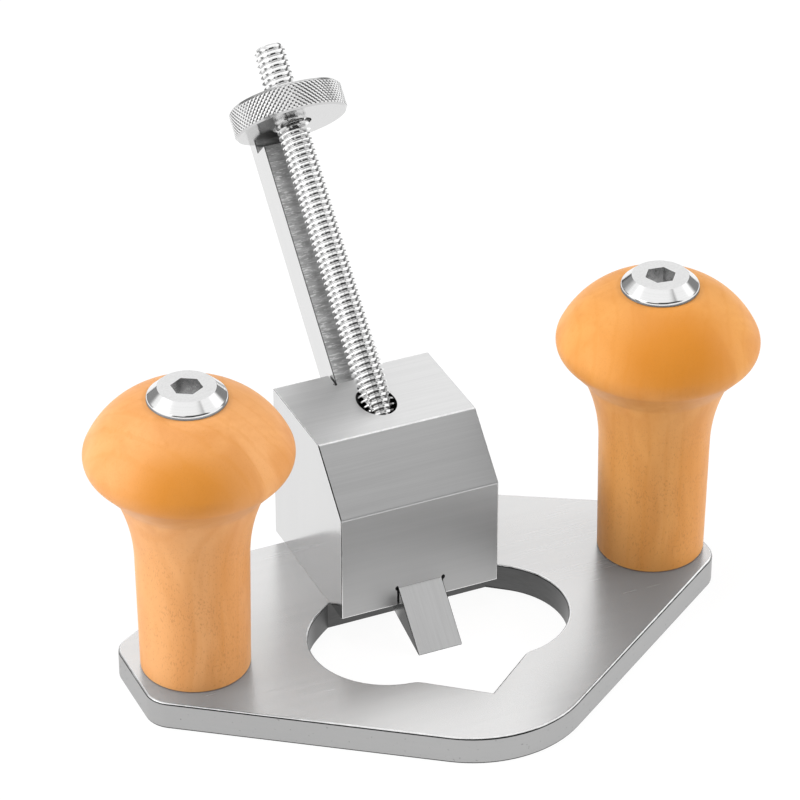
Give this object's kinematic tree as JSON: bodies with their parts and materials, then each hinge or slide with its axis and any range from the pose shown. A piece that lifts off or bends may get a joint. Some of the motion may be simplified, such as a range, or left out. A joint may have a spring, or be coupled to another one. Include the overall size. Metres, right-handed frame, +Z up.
{
  "type": "hand router plane",
  "caption": "Hand router plane: flat steel sole with an open throat, slanted blade in a steel block, knurled depth wheel on a threaded rod, two mushroom-shaped wooden handles.",
  "frame": {"origin": "on the sole plane, under the centre of the blade block", "axes": "+Z up from the sole, +Y away from the worker towards the plate's straight rear edge, +X to the worker's right"},
  "size_m": [0.1642, 0.1492, 0.1126],
  "materials": {
    "plate_steel": "ground and brushed",
    "block_steel": "brushed across",
    "rod_steel": "bright rolled thread",
    "wheel_steel": "knurled rim, turned faces",
    "blade_steel": "ground",
    "handle_wood": "clear gloss lacquer",
    "bolt_steel": "polished bevel, satin top",
    "screw_steel": "black oxide",
    "pad_brass": "turned"
  },
  "bodies": {
    "base": {"sole_plate": "plate_steel", "blade_block": "block_steel", "depth_screw_rod": "rod_steel", "left_handle": "handle_wood", "right_handle": "handle_wood", "left_handle_bolt": "bolt_steel", "right_handle_bolt": "bolt_steel", "block_screw_front_left": "screw_steel", "block_screw_front_right": "screw_steel", "block_screw_rear_left": "screw_steel", "block_screw_rear_right": "screw_steel", "rod_set_screw": "screw_steel"},
    "blade": {"blade": "blade_steel"},
    "depth_wheel": {"depth_wheel": "wheel_steel"},
    "clamp_pad": {"clamp_pad": "pad_brass"},
    "clamp_screw": {"clamp_screw": "screw_steel"}
  },
  "joints": [
    {"name": "blade_slide", "type": "slide", "parent": "base", "child": "blade", "axis": [0, 0.7071, 0.7071], "range_m": [-0.05, 0.012]},
    {"name": "wheel_turn", "type": "hinge", "parent": "blade", "child": "depth_wheel", "pos_m": [0, 0.05637, 0.0989], "axis": [0, 0.7071, 0.7071], "range_deg": [-12760, 3065]},
    {"name": "clamp_slide", "type": "slide", "parent": "base", "child": "clamp_pad", "axis": [1, 0, 0], "range_m": [0, 0.002]},
    {"name": "clamp_turn", "type": "hinge", "parent": "clamp_pad", "child": "clamp_screw", "pos_m": [0.014, 0.00025, 0.02521], "axis": [1, 0, 0], "range_deg": [0, 568]}
  ],
  "couplings": [
    {"joint": "wheel_turn", "follows": "blade_slide", "rad_per_m": 4452.7},
    {"joint": "clamp_turn", "follows": "clamp_slide", "rad_per_m": 4947.4}
  ]
}
